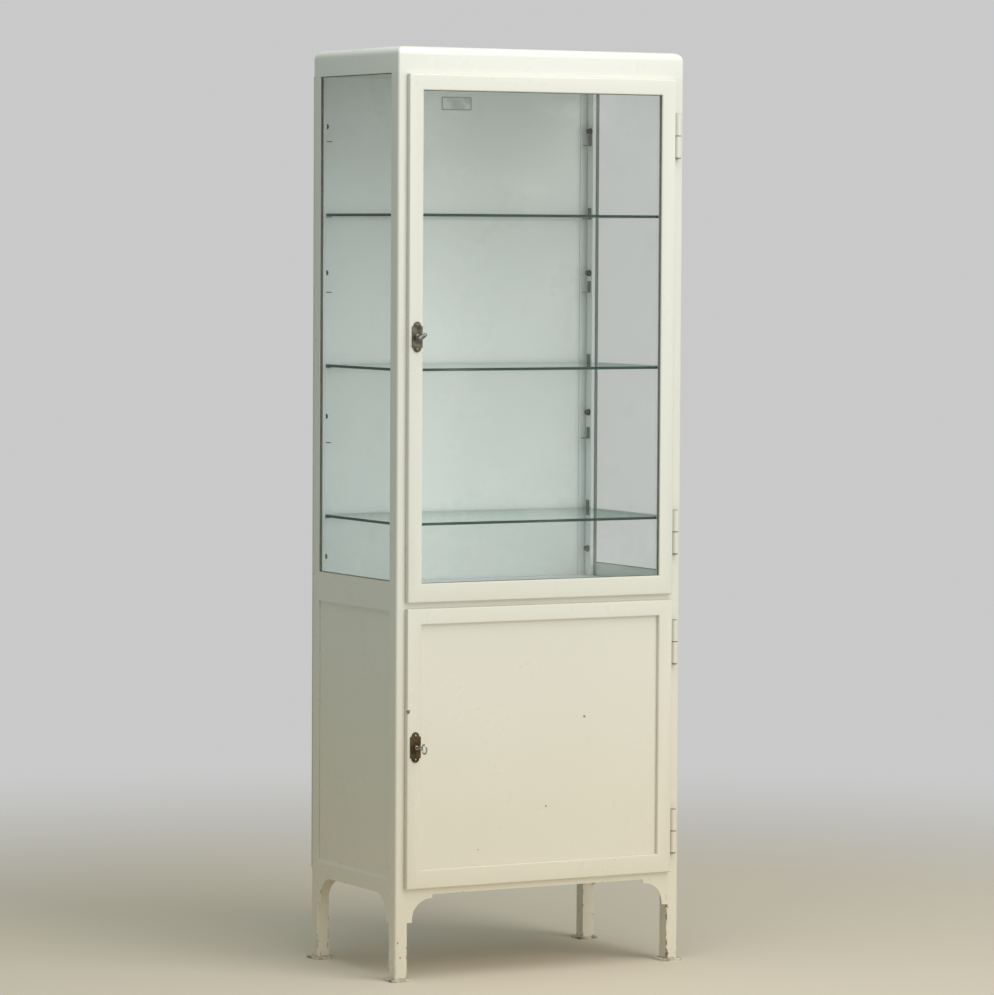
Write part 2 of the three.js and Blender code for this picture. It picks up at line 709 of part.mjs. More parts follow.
function lockCase() {
  const outside = block(
    [LOCK_X0, LOCK_X0 + LOCK.width],
    [LOCK_FRONT, LOCK_BACK],
    [KEY_HEIGHT - LOCK.below, KEY_HEIGHT + LOCK.above],
  );
  const inside = block(
    [LOCK_X0 + LOCK.sheet, LOCK_X0 + LOCK.width - LOCK.sheet],
    [LOCK_FRONT + LOCK.sheet, LOCK_BACK - LOCK.sheet],
    [KEY_HEIGHT - LOCK.below + LOCK.sheet, KEY_HEIGHT + LOCK.above - LOCK.sheet],
  );
  const boltHalf = BOLT.thickness / 2 + FIT;
  const boltSlot = block(
    [LOCK_X0 - FIT, LOCK_X0 + 2 * LOCK.sheet],
    [LOCK_MIDDLE - boltHalf, LOCK_MIDDLE + boltHalf],
    [KEY_HEIGHT + BOLT.below - FIT, KEY_HEIGHT + BOLT.above + FIT],
  );
  return cut(outside, inside, boltSlot, keyhole(LOCK_FRONT - FIT, LOCK_FRONT + 2 * LOCK.sheet));
}

function lockBolt() {
  const half = BOLT.thickness / 2;
  const bar = block(
    [LOCK_X0, LOCK_X0 + BOLT.length],
    [LOCK_MIDDLE - half, LOCK_MIDDLE + half],
    [KEY_HEIGHT + BOLT.below, KEY_HEIGHT + BOLT.above],
  );
  const notchX = LOCK_X + BOLT.throw;
  const notch = block(
    [notchX - BOLT.notch / 2, notchX + BOLT.notch / 2],
    [LOCK_MIDDLE - BOLT.thickness, LOCK_MIDDLE + BOLT.thickness],
    [KEY_HEIGHT + BOLT.below - FIT, KEY_HEIGHT + BOLT.below + BOLT.notchDepth],
  );
  return cut(bar, notch);
}

// The cabinet put together

const cabinet = group(null, 0, 0, 0);
const carcass = group(cabinet, 0, 0, 0);
const upperDoor = group(cabinet, HINGE_X, HINGE_Y, 0);
const upperLatch = group(upperDoor, LOCK_X, 0, HANDLE_HEIGHT);
const lowerDoor = group(cabinet, HINGE_X, HINGE_Y, 0);
const lowerKey = group(lowerDoor, LOCK_X, 0, KEY_HEIGHT);
const lowerBolt = group(lowerDoor, LOCK_X, 0, KEY_HEIGHT);

for (const end of ENDS) {
  for (const [sideName, side] of SIDES) {
    place(carcass, `post_${end}_${sideName}`, post(side, end), paint);
    place(carcass, `foot_${end}_${sideName}`, foot(side, end), paint);
    place(carcass, `shelf_strip_${end}_${sideName}`, shelfStrip(side, end), paint);
  }
}
place(carcass, "top_cap", topCap(), paint);
place(carcass, "header_rail", frontRail(OPENING_HEAD, CAP_BOTTOM), paint);
place(carcass, "mid_rail", frontRail(MID_RAIL_HEIGHT, CASE_FLOOR), paint);

const frontApron = apronOutline(-OPENING_HALF, OPENING_HALF, true);
place(carcass, "apron_front", extrude(frontApron, "y", 0, INNER_FRONT), paint);
place(carcass, "apron_rear", extrude(frontApron, "y", INNER_REAR, POST_REAR), paint);
for (const [sideName, side] of SIDES) {
  const sheet = fromSide(side, 0, POST_WALL);
  const between = [POST_WIDTH, POST_REAR - POST_WIDTH];
  place(carcass, `apron_${sideName}`, extrude(apronOutline(...between, false), "x", ...sheet), paint);
  place(
    carcass,
    `side_rail_${sideName}`,
    block(sheet, between, [MID_RAIL_HEIGHT, MID_RAIL_HEIGHT + SIDE_RAIL]),
    paint,
  );
  place(
    carcass,
    `side_panel_${sideName}`,
    block(
      fromSide(side, PANE_INSET, PANE_INSET + SIDE_SHEET),
      [INNER_FRONT + FIT, INNER_REAR - FIT],
      [RAIL_TOP - PANEL_LAP, MID_RAIL_HEIGHT + PANEL_LAP],
    ),
    paint,
  );
  place(
    carcass,
    `side_glass_${sideName}`,
    block(
      fromSide(side, PANE_INSET, PANE_INSET + PANE),
      [INNER_FRONT + PANE_EDGE_GAP, INNER_REAR - PANE_EDGE_GAP],
      [CASE_FLOOR + FIT, CAP_BOTTOM + PANE_HEAD],
    ),
    glass,
  );
}
place(
  carcass,
  "back_panel",
  block([-HALF + FIT, HALF - FIT], [POST_REAR, DEPTH], [RAIL_TOP - PANEL_LAP, CAP_BOTTOM]),
  paint,
);
place(carcass, "lower_floor", floorSheet(RAIL_TOP), paint);
place(carcass, "case_floor", floorSheet(CASE_FLOOR), paint);
SHELF_LEVELS.forEach((level, i) => place(carcass, `glass_shelf_${i + 1}`, glassShelf(level), glass));

const hinges = [
  [UPPER_DOOR.z1 - UPPER_HINGE_INSETS.head, upperDoor],
  [UPPER_DOOR.z0 + UPPER_HINGE_INSETS.sill, upperDoor],
  [LOWER_DOOR.z1 - LOWER_HINGE_INSETS.head, lowerDoor],
  [LOWER_DOOR.z0 + LOWER_HINGE_INSETS.sill, lowerDoor],
];
hinges.forEach(([z, door], i) => {
  const pieces = hinge(z);
  place(door, `hinge_${i + 1}_door_knuckle`, pieces.door, paint);
  place(carcass, `hinge_${i + 1}_frame_knuckle`, pieces.frame, paint);
  place(carcass, `hinge_${i + 1}_pin`, pieces.pin, steel);
});

const upperPlate = extrude(plateOutline(HANDLE_HEIGHT), "y", PLATE_FACE, DOOR_FACE);
place(upperDoor, "upper_door_frame", cut(doorFrame(UPPER_DOOR), spindleBore(PLATE_FACE, 0)), paint);
place(upperDoor, "upper_door_glass", doorFill(UPPER_DOOR, PANE), glass);
place(upperDoor, "upper_glazing_bead", glazingBead(), paint);
place(upperDoor, "upper_escutcheon", cut(upperPlate, spindleBore(PLATE_FACE - FIT, 0)), bronze);
place(upperDoor, "upper_spindle_bush", spindleBush(), steel);
place(upperLatch, "upper_handle", handle(), nickel);
place(upperLatch, "upper_latch_cam", latchCam(), steel);
place(upperLatch, "upper_latch_nut", latchNut(), steel);

const lowerPlate = extrude(plateOutline(KEY_HEIGHT), "y", PLATE_FACE, DOOR_FACE);
place(lowerDoor, "lower_door_frame", cut(doorFrame(LOWER_DOOR), keyhole(PLATE_FACE, 0)), paint);
place(lowerDoor, "lower_door_panel", doorFill(LOWER_DOOR, DOOR_SHEET), paint);
place(lowerDoor, "lower_escutcheon", cut(lowerPlate, keyhole(PLATE_FACE - FIT, 0)), rustyBronze);
place(lowerDoor, "lower_lock_case", lockCase(), steel);
place(lowerKey, "lower_key", key(), nickel);
place(lowerBolt, "lower_lock_bolt", lockBolt(), steel);

// Origin on the floor under the middle of the bounding box, from the key's bow to the rear feet
const foremost = PLATE_FACE - KEY_REACH - KEY_BOW.radius - KEY_BOW.wire;
const rearmost = POST_REAR + FOOT_OVERHANG;
cabinet.position.y = -(foremost + rearmost) / 2;

export default cabinet;
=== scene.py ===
"""Looks of a glass door medical cabinet: worn cream paint, glass, metal and small fittings."""

import math

import bmesh
import bpy
from mathutils import Matrix, Vector


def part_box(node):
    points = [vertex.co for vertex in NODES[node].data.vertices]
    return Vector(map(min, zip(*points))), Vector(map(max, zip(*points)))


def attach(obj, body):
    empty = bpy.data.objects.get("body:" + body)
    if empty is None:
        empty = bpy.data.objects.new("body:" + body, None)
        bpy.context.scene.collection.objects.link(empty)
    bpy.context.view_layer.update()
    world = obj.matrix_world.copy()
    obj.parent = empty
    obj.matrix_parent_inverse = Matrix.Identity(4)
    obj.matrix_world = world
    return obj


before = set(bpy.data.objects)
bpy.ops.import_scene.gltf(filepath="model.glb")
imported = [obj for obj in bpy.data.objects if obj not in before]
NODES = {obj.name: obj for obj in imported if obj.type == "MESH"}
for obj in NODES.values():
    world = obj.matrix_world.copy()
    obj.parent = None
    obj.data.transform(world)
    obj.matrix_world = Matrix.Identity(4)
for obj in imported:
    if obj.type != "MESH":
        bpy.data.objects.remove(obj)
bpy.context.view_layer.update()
MM = 0.001


def colour(red, green, blue):
    """An opaque colour from its three linear parts."""
    return (red, green, blue, 1.0)


# Camera fitted to the straight edges of the cabinet in the photo
CAMERA_PLACE = (-4.2915, -7.7556, 1.3580)
CAMERA_TURN = math.radians(28.887)
CAMERA_PITCH = math.radians(-3.148)
CAMERA_ROLL = math.radians(0.315)
CAMERA_ANGLE = math.radians(11.955)
CAMERA_REACH = 100.0

# Lamps: large, soft and slightly warm
LAMPS = {
    "key": dict(towards=(0.30, -0.72, 0.66), distance=5.0, size=2.8, power=65, tint=(1.0, 0.965, 0.95)),
    "fill": dict(towards=(0.30, -1.0, 0.16), distance=5.0, size=5.0, power=94, tint=(1.0, 0.97, 0.955)),
    "top": dict(towards=(-0.1, -0.3, 1.0), distance=3.6, size=2.6, power=68, tint=(1.0, 0.985, 0.97)),
}
LIT_POINT = Vector((0.0, 0.0, 0.85))

# Surroundings
AMBIENT = 0.36
AMBIENT_COLOUR = colour(0.87, 1.0, 0.965)
BACKDROP = colour(0.585, 0.585, 0.585)
FLOOR_COLOUR = colour(0.70, 0.62, 0.50)
FLOOR_RADIUS = 3.4
FLOOR_SOLID = 0.25
FLOOR_SIDES = 96

# Paints: two shades of each, mixed in clouds
CREAM = (colour(0.725, 0.72, 0.64), colour(0.77, 0.765, 0.69))
# A lighter copy of the cream for the cap: painted light on the top of the cabinet
LIT_CAP_CREAM = (colour(0.76, 0.755, 0.685), colour(0.80, 0.80, 0.735))
WHITE = (colour(0.845, 0.87, 0.87), colour(0.88, 0.91, 0.915))
# A darker, warmer copy of the paint near the floor: painted shade and warm light bounced from the floor
WARM_FLOOR_SHADE = (colour(0.735, 0.675, 0.54), colour(0.785, 0.73, 0.60))
RUST = (colour(0.10, 0.08, 0.055), colour(0.27, 0.18, 0.11))
CLIP_METAL = (colour(0.10, 0.095, 0.075), colour(0.22, 0.21, 0.17))
STAIN = colour(0.62, 0.575, 0.46)
DUST = colour(0.60, 0.57, 0.50)
DUST_SHARE = 0.4
MATT = 0.85
CLIP_METALLIC = 0.6

# Wear of the paint, and the painted warm shade near the floor: each changes between two heights, and chips
# along edges have two widths
WARM_SHADE_HEIGHTS = (100.0 * MM, 1000.0 * MM)
KICKED = (20.0 * MM, 160.0 * MM)
RUSTED = (2.0 * MM, 16.0 * MM)
CHIPPED = (0.0, 280.0 * MM)
CHIPS_NARROWED = (50.0 * MM, 250.0 * MM)
CHIP_WIDTHS = (5.0 * MM, 1.6 * MM)

# Metals: bright, dull and spotted colour, and roughness, which tarnish adds to
METALS = {
    "plain_steel": ((0.46, 0.45, 0.43), (0.33, 0.32, 0.30), (0.10, 0.075, 0.05), 0.34),
    "worn_grip": ((0.27, 0.26, 0.235), (0.17, 0.16, 0.14), (0.08, 0.065, 0.05), 0.42),
    "nickel_plate": ((0.62, 0.60, 0.52), (0.42, 0.40, 0.33), (0.16, 0.13, 0.09), 0.28),
    "aged_bronze": ((0.165, 0.155, 0.115), (0.075, 0.07, 0.048), (0.04, 0.036, 0.026), 0.38),
    "rusty_bronze": ((0.125, 0.085, 0.045), (0.06, 0.042, 0.022), (0.16, 0.075, 0.035), 0.5),
    "brass_pins": ((0.52, 0.46, 0.34), (0.33, 0.28, 0.19), (0.12, 0.09, 0.05), 0.35),
    "blackened_steel": ((0.06, 0.06, 0.055), (0.03, 0.029, 0.027), (0.09, 0.06, 0.04), 0.4),
}
TARNISH_ROUGHNESS = 0.18

# Glass
GLASS_IOR = 1.5
GLASS_BOUNCES = 32
FILM = colour(0.80, 0.80, 0.77)

# Screws, washers and clips of the shelf strips; shares are of the head's radius or stand, or the washer
STRIP_INSET = 13.5 * MM
SCREW_HEIGHTS = (0.757, 1.020, 1.288, 1.560)
SCREW_TURNS = (0.4, 1.3, 2.2, 0.9)
SCREW_HEAD = 5.0 * MM
SCREW_STAND = 6.2 * MM
SCREW_EDGE_SHARE = 0.12
SCREW_ROUND_SHARE = 0.85
SLOT_FLOOR_SHARE = 0.62
SLOT_HALF_SHARE = 0.16
LAND_STEPS = 9
WASHER = 6.6 * MM
WASHER_SHEET = 1.2 * MM
WASHER_ROUND_SHARE = 0.8
CLIPS_WITHIN = 286.2 * MM
CLIP_EDGE = 0.1 * MM

# Pins of the escutcheons, and the flat left at the crown of any domed head
PIN_HEAD = 1.9 * MM
PIN_STAND = 1.0 * MM
PIN_INSET = 6.0 * MM
CROWN_SHARE = 0.04

# Bare label: its rim is drawn as (inset, stand); a painted shade along the rim ends between two distances
# from its edge
LABEL_MIDDLE = (2.0 * MM, 1.6085)
LABEL_SIZE = (64.0 * MM, 25.0 * MM)
LABEL_CORNER = 2.5 * MM
LABEL_RIM = (
    (0.0 * MM, 0.0 * MM),
    (0.0 * MM, 0.5 * MM),
    (0.35 * MM, 0.8 * MM),
    (1.3 * MM, 0.8 * MM),
    (1.7 * MM, 0.45 * MM),
)
LABEL_RIM_SHADE = (-2.3 * MM, -1.7 * MM)
RIVET_INSET = 4.5 * MM
RIVET_FOOT = 0.4 * MM
RIVET_HEAD = 1.4 * MM
RIVET_STAND = 0.9 * MM

# Glazing compound, whose dark colour is also painted shade in the rebates, and the slopes under the side
# panels
SEAL_WIDTH = 1.0 * MM
SEAL_DEPTH = 4.0 * MM
SEAL_SECTION = ((0.0, 0.05), (0.0, 1.0), (0.35, 0.95), (0.8, 0.6), (1.0, 0.25), (1.0, 0.05))
SIDE_SEAL = 1.9 * MM
STILE = 29.0 * MM
BOTTOM_RAIL = 35.0 * MM
SILL_RISE = 8.0 * MM

# CAD nodes: bends up to this angle are shaded smooth, after points this close are merged
SHARP_ANGLE = math.radians(35.0)
MERGED_WITHIN = 0.001 * MM

# The white inside of the glass case: between two depths, within a half width and above a height
LINED_BETWEEN = (-144.0 * MM, 194.0 * MM)
LINED_WITHIN = 298.5 * MM
LINED_ABOVE = 704.0 * MM

# Knocks in the paint: middle, radius, and how much taller than wide
LEG_FACE = -145.0 * MM
PANEL_FACE = -148.0 * MM
DOOR_FACE = -155.0 * MM
DOOR_KNOCKS = (
    ((-280.5 * MM, DOOR_FACE, 494.5 * MM), 4.0 * MM, 1.0),
    ((92.7 * MM, PANEL_FACE, 470.0 * MM), 2.4 * MM, 1.0),
    ((12.8 * MM, PANEL_FACE, 306.5 * MM), 2.2 * MM, 1.0),
    ((-130.0 * MM, PANEL_FACE, 233.0 * MM), 2.4 * MM, 1.0),
    ((276.0 * MM, DOOR_FACE, 168.0 * MM), 2.6 * MM, 1.0),
)
LEG_KNOCKS = (
    ((276.5 * MM, LEG_FACE, 103.0 * MM), 3.0 * MM, 1.5),
    ((276.0 * MM, LEG_FACE, 84.0 * MM), 2.2 * MM, 3.0),
    ((276.0 * MM, LEG_FACE, 34.0 * MM), 2.4 * MM, 3.0),
    ((276.5 * MM, LEG_FACE, 15.0 * MM), 3.6 * MM, 2.5),
    ((-293.5 * MM, LEG_FACE, 71.0 * MM), 1.6 * MM, 1.5),
    ((-289.0 * MM, LEG_FACE, 43.0 * MM), 1.6 * MM, 1.5),
)


class Graph:
    """A material's node tree, with short ways to add and link nodes."""

    def __init__(self, name):
        self.material = bpy.data.materials.new(name)
        self.material.use_nodes = True
        self.tree = self.material.node_tree
        self.shader = self.tree.nodes["Principled BSDF"]
        self.output = self.tree.nodes["Material Output"]

    def node(self, kind, inputs=None, **settings):
        """Add a node with its settings, and values or links for its inputs."""
        made = self.tree.nodes.new(kind)
        for key, value in settings.items():
            setattr(made, key, value)
        for key, value in (inputs or {}).items():
            self.feed(made.inputs[key], value)
        return made

    def feed(self, socket, value):
        """Link an input to another node's output, or set its value."""
        if isinstance(value, bpy.types.NodeSocket):
            self.tree.links.new(value, socket)
        else:
            socket.default_value = value

    def set(self, **inputs):
        """Feed the main shader; an underscore stands for the space in an input's name."""
        for key, value in inputs.items():
            self.feed(self.shader.inputs[key.replace("_", " ")], value)

    def show(self, shader):
        """Make this shader the surface of the material."""
        self.feed(self.output.inputs["Surface"], shader)

    def place(self):
        return self.node("ShaderNodeTexCoord").outputs["Object"]

    def geometry(self, output):
        return self.node("ShaderNodeNewGeometry").outputs[output]

    def axes(self, vector):
        return self.node("ShaderNodeSeparateXYZ", {0: vector}).outputs

    def stretched(self, vector, scale):
        return self.node("ShaderNodeMapping", {"Vector": vector, "Scale": scale}).outputs[0]

    def length(self, vector):
        return self.node("ShaderNodeVectorMath", {0: vector}, operation="LENGTH").outputs["Value"]

    def noise(self, vector, scale, detail, roughness=0.55):
        values = {"Vector": vector, "Scale": scale, "Detail": detail, "Roughness": roughness}
        return self.node("ShaderNodeTexNoise", values).outputs["Fac"]

    def span(self, value, source, target=(0.0, 1.0)):
        """Carry a value smoothly from the source range to the target range."""
        values = dict(enumerate((value, *source, *target)))
        return self.node("ShaderNodeMapRange", values, interpolation_type="SMOOTHSTEP").outputs[0]

    def maths(self, operation, a, b=0.0):
        return self.node("ShaderNodeMath", {0: a, 1: b}, operation=operation).outputs[0]

    def blend(self, factor, a, b):
        """Mix two colours."""
        return self.node("ShaderNodeMix", data_type="RGBA", inputs={0: factor, 6: a, 7: b}).outputs[2]

    def mix(self, factor, a, b):
        """Mix two shaders."""
        return self.node("ShaderNodeMixShader", {0: factor, 1: a, 2: b}).outputs[0]

    def bump(self, height, strength, distance, normal=None):
        values = {"Height": height, "Strength": strength, "Distance": distance}
        if normal is not None:
            values["Normal"] = normal
        return self.node("ShaderNodeBump", values).outputs[0]


# Paint


def paint_colour(g, place, fresh_pair, shaded_pair):
    """Brushed enamel that turns into a darker, warmer copy towards the floor, painted shade and warm light
    from the floor, with faint stains that run down.
    """
    clouds = g.noise(place, scale=2.2, detail=4.0)
    warm_shade = g.span(g.axes(place)[2], WARM_SHADE_HEIGHTS, (1.0, 0.0))
    paint = g.blend(warm_shade, g.blend(clouds, *fresh_pair), g.blend(clouds, *shaded_pair))
    runs = g.noise(g.stretched(place, (1.0, 1.0, 0.25)), scale=26.0, detail=5.0, roughness=0.65)
    return g.blend(g.span(runs, (0.60, 0.80), (0.0, 0.30)), paint, STAIN)


def worn_edges(g, radius):
    """Where a rounded normal leaves the flat one: along the edges of a piece."""
    rounded = g.node("ShaderNodeBevel", {"Radius": radius}, samples=2).outputs[0]
    flat = g.geometry("Normal")
    same = g.node("ShaderNodeVectorMath", {0: rounded, 1: flat}, operation="DOT_PRODUCT").outputs["Value"]
    return g.span(g.maths("SUBTRACT", 1.0, same), (0.05, 0.2))


def bare_spots(g, place, ragged):
    """A few specks anywhere; scratches and a brown stain of rust close to the floor."""
    height = g.axes(place)[2]
    cells = g.node("ShaderNodeTexVoronoi", {"Vector": place, "Scale": 24.0})
    chosen = g.span(g.axes(cells.outputs["Color"])[0], (0.965, 0.97))
    reach = g.maths("MULTIPLY", g.maths("SUBTRACT", ragged, 0.35), 0.11)
    specks = g.maths("MULTIPLY", chosen, g.maths("LESS_THAN", cells.outputs["Distance"], reach))
    scraped = g.noise(g.stretched(place, (1.0, 1.0, 0.12)), scale=210.0, detail=3.0, roughness=0.6)
    kicked = g.span(height, KICKED, (0.09, -0.12))
    scratches = g.span(g.maths("ADD", scraped, kicked), (0.74, 0.80), (0.0, 0.75))
    creep = g.span(height, RUSTED, (0.34, -0.3))
    mottled = g.noise(place, scale=70.0, detail=4.0, roughness=0.6)
    rusty = g.span(g.maths("ADD", mottled, creep), (0.70, 1.0), (0.0, 0.85))
    return g.maths("MAXIMUM", g.maths("MAXIMUM", specks, scratches), rusty)


def knocked_spots(g, place, knocks):
    """Knocks at set places, with ragged outlines."""
    outline = g.noise(place, scale=260.0, detail=4.0, roughness=0.7)
    ragged = g.span(outline, (0.35, 0.65), (0.2, 1.3))
    spots = None
    for middle, radius, tall in knocks:
        off = g.node("ShaderNodeVectorMath", {0: place, 1: middle}, operation="SUBTRACT").outputs[0]
        away = g.length(g.stretched(off, (1.0, 1.0, 1.0 / tall)))
        spot = g.maths("LESS_THAN", g.maths("DIVIDE", away, radius), ragged)
        spots = spot if spots is None else g.maths("MAXIMUM", spots, spot)
    return spots


def lined_case(g, place):
    """Faces that look into the glass case, which is lined with whiter paint."""
    x, y, z = g.axes(place)
    within = g.maths("LESS_THAN", g.maths("ABSOLUTE", x), LINED_WITHIN)
    behind = g.maths("GREATER_THAN", y, LINED_BETWEEN[0])
    before = g.maths("LESS_THAN", y, LINED_BETWEEN[1])
    above = g.maths("GREATER_THAN", z, LINED_ABOVE)
    return g.maths("MULTIPLY", g.maths("MULTIPLY", within, above), g.maths("MULTIPLY", behind, before))


def rubbed_ends(g):
    """Dirt in the joint between two knuckles: both ends of a piece, by its own height."""
    height = g.axes(g.node("ShaderNodeTexCoord").outputs["Generated"])[2]
    return g.span(g.maths("ABSOLUTE", g.maths("SUBTRACT", height, 0.5)), (0.477, 0.49))


def settled_dust(g, place):
    """Dust lies on faces that look straight up, thicker in some patches than in others."""
    up = g.axes(g.geometry("Normal"))[2]
    patches = g.span(g.noise(place, scale=8.0, detail=5.0, roughness=0.65), (0.3, 0.7), (0.55, 1.0))
    return g.maths("MULTIPLY", g.span(up, (0.85, 0.98)), patches)


def bared_steel(g, place, knocks, rubbed):
    """Where the paint is off: the spots by themselves, and the spots with the chipped edges."""
    height = g.axes(place)[2]
    ragged = g.noise(place, scale=55.0, detail=4.0, roughness=0.7)
    spots = bare_spots(g, place, ragged)
    if knocks:
        spots = g.maths("MAXIMUM", spots, knocked_spots(g, place, knocks))
    if rubbed:
        spots = g.maths("MAXIMUM", spots, rubbed_ends(g))
    edges = worn_edges(g, g.span(height, CHIPS_NARROWED, CHIP_WIDTHS))
    rubbed_off = g.maths("ADD", ragged, g.span(height, CHIPPED, (0.14, 0.0)))
    edge_chips = g.maths("MULTIPLY", edges, g.span(rubbed_off, (0.66, 0.70)))
    return spots, g.maths("MAXIMUM", edge_chips, spots)


def painted(name, fresh_pair=CREAM, knocks=(), lined=False, rubbed=False):
    """Semi-gloss enamel over rusty steel, chipped along its edges."""
    g = Graph(name)
    place = g.place()
    spots, bare = bared_steel(g, place, knocks, rubbed)
    # Towards the floor the paint blends into its darker, warmer copy, which is painted shade and warm floor
    # light
    paint = paint_colour(g, place, fresh_pair, WARM_FLOOR_SHADE)
    if lined:
        paint = g.blend(lined_case(g, place), paint, paint_colour(g, place, WHITE, WHITE))
    dust = settled_dust(g, place)
    dusted = g.blend(g.maths("MULTIPLY", dust, DUST_SHARE), paint, DUST)
    rust = g.blend(g.noise(place, scale=240.0, detail=4.0, roughness=0.7), *RUST)
    gloss = g.span(g.noise(place, scale=9.0, detail=4.0), (0.3, 0.7), (0.26, 0.42))
    matt = g.maths("MULTIPLY", g.maths("MAXIMUM", bare, dust), MATT)
    g.set(Base_Color=g.blend(bare, dusted, rust), Roughness=g.maths("MAXIMUM", gloss, matt))
    g.set(Specular_IOR_Level=g.span(dust, (0.0, 1.0), (0.5, 0.1)))
    dents = g.bump(g.noise(place, scale=5.0, detail=1.0), strength=0.2, distance=3.0 * MM)
    peel = g.bump(g.noise(place, scale=420.0, detail=2.0), strength=0.06, distance=0.25 * MM, normal=dents)
    g.set(Normal=g.bump(spots, strength=-0.6, distance=0.15 * MM, normal=peel))
    return g.material


def strip_paint():
    """White shelf strips with tarnished clips."""
    g = Graph("strip_paint")
    place = g.place()
    out = g.maths("ABSOLUTE", g.axes(place)[0])
    clips = g.span(out, (CLIPS_WITHIN - CLIP_EDGE, CLIPS_WITHIN + CLIP_EDGE), (1.0, 0.0))
    tarnish = g.noise(place, scale=130.0, detail=4.0, roughness=0.65)
    metal = g.blend(tarnish, *CLIP_METAL)
    g.set(Base_Color=g.blend(clips, paint_colour(g, place, WHITE, WHITE), metal))
    g.set(Metallic=g.maths("MULTIPLY", clips, CLIP_METALLIC))
    g.set(Roughness=g.span(tarnish, (0.3, 0.7), (0.34, 0.5)))
    g.set(Normal=g.bump(g.noise(place, scale=420.0, detail=2.0), strength=0.10, distance=0.25 * MM))
    return g.material


# Glass


def clear_glass(name, tint, shade, mirrored, smeared):
    """A thin pane: lets light and sight through with a tint, and mirrors by angle."""
    g = Graph(name)
    place = g.place()
    touched = g.noise(g.stretched(place, (1.0, 1.0, 0.6)), scale=7.0, detail=5.0, roughness=0.65)
    smudges = g.span(touched, (0.5, 0.75), (0.02, 0.10))
    passed = g.blend(g.noise(place, scale=1.6, detail=2.0), tint, shade)
    through = g.node("ShaderNodeBsdfTransparent", {"Color": passed}).outputs[0]
    mirror = g.node("ShaderNodeBsdfGlossy", {"Color": mirrored, "Roughness": smudges}).outputs[0]
    index = g.span(g.geometry("Backfacing"), (0.0, 1.0), (GLASS_IOR, 1 / GLASS_IOR))
    share = g.node("ShaderNodeFresnel", {"IOR": index}).outputs[0]
    wiped = g.noise(g.stretched(place, (1.0, 1.0, 1.5)), scale=5.0, detail=4.0, roughness=0.6)
    film = g.node("ShaderNodeBsdfDiffuse", {"Color": FILM}).outputs[0]
    smears = g.span(wiped, (0.50, 0.72), (0.0, smeared))
    surface = g.mix(smears, g.mix(share, through, mirror), film)
    g.show(surface)
    return g, surface


def clean_pane():
    """Window glass with a few wiped smears."""
    tints = (colour(0.988, 0.994, 0.988), colour(0.980, 0.988, 0.980))
    return clear_glass("clean_pane", *tints, colour(0.45, 0.47, 0.46), 0.06)[0].material


def shaded_pane():
    """A pane tinted darker and greyer than the clean one: painted shade."""
    tints = (colour(0.918, 0.928, 0.920), colour(0.906, 0.918, 0.910))
    return clear_glass("shaded_pane", *tints, colour(0.8, 0.8, 0.8), 0.03)[0].material


def shelf_glass():
    """Clear on its two faces, dark green at its ground edges."""
    tints = (colour(0.975, 0.992, 0.985), colour(0.965, 0.988, 0.978))
    g, face = clear_glass("shelf_glass", *tints, colour(0.92, 0.98, 0.95), 0.02)
    upright = g.axes(g.geometry("Normal"))[2]
    is_face = g.span(g.maths("ABSOLUTE", upright), (0.45, 0.55))
    streak = g.noise(g.stretched(g.place(), (1.0, 1.0, 12.0)), scale=30.0, detail=3.0)
    g.set(Base_Color=g.blend(streak, colour(0.002, 0.020, 0.014), colour(0.010, 0.055, 0.040)))
    g.set(Roughness=0.35, Specular_IOR_Level=0.07)
    g.show(g.mix(is_face, g.shader.outputs[0], face))
    return g.material


# Metal, glazing compound and floor


def worn_metal(name, bright, dull, spotted, roughness):
    """Metal with a fine grain, cloudy tarnish and darker pits."""
    g = Graph(name)
    place = g.place()
    tarnish = g.span(g.noise(place, scale=90.0, detail=5.0, roughness=0.65), (0.35, 0.65))
    body = g.blend(tarnish, colour(*bright), colour(*dull))
    pits = g.span(g.noise(place, scale=420.0, detail=4.0, roughness=0.7), (0.60, 0.68))
    g.set(Base_Color=g.blend(pits, body, colour(*spotted)), Metallic=1.0)
    g.set(Roughness=g.maths("ADD", g.maths("MULTIPLY", tarnish, TARNISH_ROUGHNESS), roughness))
    grain = g.bump(g.noise(place, scale=900.0, detail=2.0), strength=0.12, distance=0.08 * MM)
    level = g.maths("SUBTRACT", 1.0, pits)
    g.set(Normal=g.bump(level, strength=0.4, distance=0.08 * MM, normal=grain))
    return g.material


def label_metal():
    """Stained plate with a dark band painted along its raised rim as shade."""
    g = Graph("label_metal")
    place = g.place()
    x, _, z = g.axes(place)
    past = []
    for along, middle, size in zip((x, z), LABEL_MIDDLE, LABEL_SIZE):
        off = g.maths("ABSOLUTE", g.maths("SUBTRACT", along, middle))
        past.append(g.maths("SUBTRACT", off, size / 2))
    # Dark band round the edge: painted shade of the raised rim
    rim = g.span(g.maths("MAXIMUM", *past), LABEL_RIM_SHADE)
    stains = g.noise(place, scale=40.0, detail=2.0, roughness=0.5)
    face = g.blend(g.span(stains, (0.36, 0.64)), colour(0.86, 0.90, 0.87), colour(0.60, 0.64, 0.61))
    g.set(Base_Color=g.blend(rim, face, colour(0.36, 0.385, 0.36)))
    g.set(Roughness=g.span(stains, (0.3, 0.7), (0.25, 0.45)))
    g.set(Normal=g.bump(g.noise(place, scale=600.0, detail=2.0), strength=0.1, distance=0.08 * MM))
    return g.material


